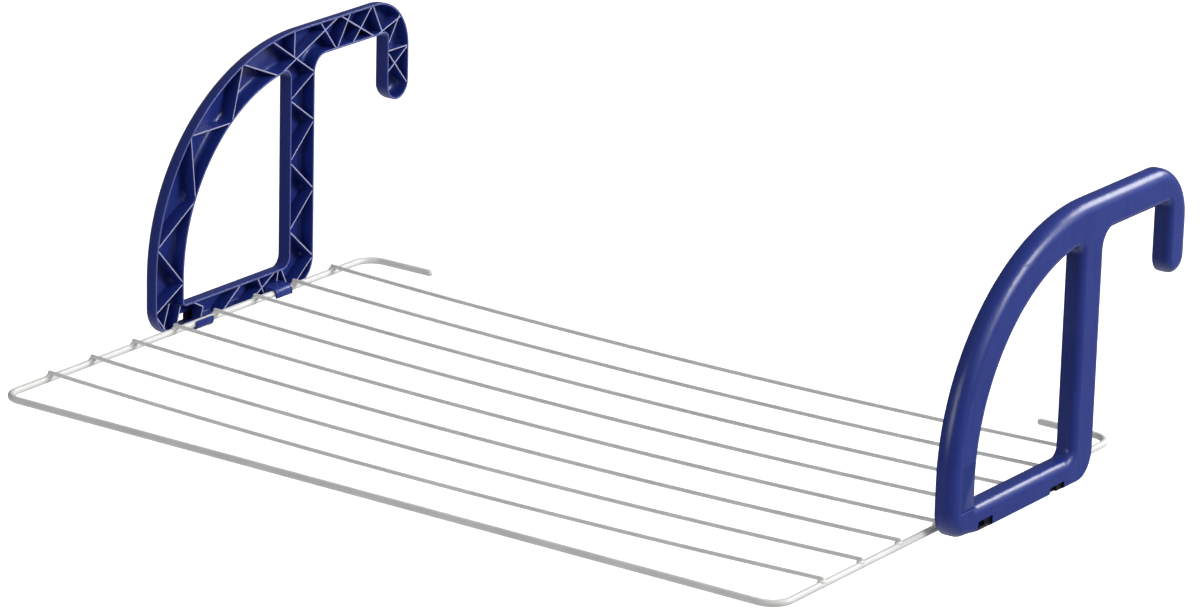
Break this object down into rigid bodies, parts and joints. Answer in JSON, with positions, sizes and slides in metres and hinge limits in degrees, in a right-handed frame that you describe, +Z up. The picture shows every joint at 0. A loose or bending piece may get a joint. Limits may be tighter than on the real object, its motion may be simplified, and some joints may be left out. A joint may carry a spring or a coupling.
{
  "type": "hook-over drying rack",
  "caption": "Clothes drying rack: a coated wire grid held by two hooked plastic brackets that hang over a rail and fold inwards onto the grid.",
  "frame": {"origin": "mid-width of the rack, where the level of the two hook seats meets the plane of the two posts' bearing faces: the top front edge of the rail that the rack hangs on", "axes": "+X along the drying lines to the right, +Y away from the user towards the rail, +Z up"},
  "size_m": [0.821, 0.5669, 0.2365],
  "materials": {
    "coated_wire": "smooth white plastic-coated steel wire, satin",
    "bracket_plastic": "injection-moulded royal blue plastic, satin gloss"
  },
  "bodies": {
    "grid": {"frame_wire": "coated_wire", "drying_line_1": "coated_wire", "drying_line_2": "coated_wire", "drying_line_3": "coated_wire", "drying_line_4": "coated_wire", "drying_line_5": "coated_wire", "drying_line_6": "coated_wire", "drying_line_7": "coated_wire", "drying_line_8": "coated_wire"},
    "left_bracket": {"left_bracket": "bracket_plastic"},
    "right_bracket": {"right_bracket": "bracket_plastic"}
  },
  "joints": [
    {"name": "left_bracket_fold", "type": "hinge", "parent": "grid", "child": "left_bracket", "pos_m": [-0.387, -0.1445, -0.20085], "axis": [0, 1, 0], "range_deg": [0, 90]},
    {"name": "right_bracket_fold", "type": "hinge", "parent": "grid", "child": "right_bracket", "pos_m": [0.387, -0.1445, -0.20085], "axis": [0, -1, 0], "range_deg": [0, 90]}
  ]
}
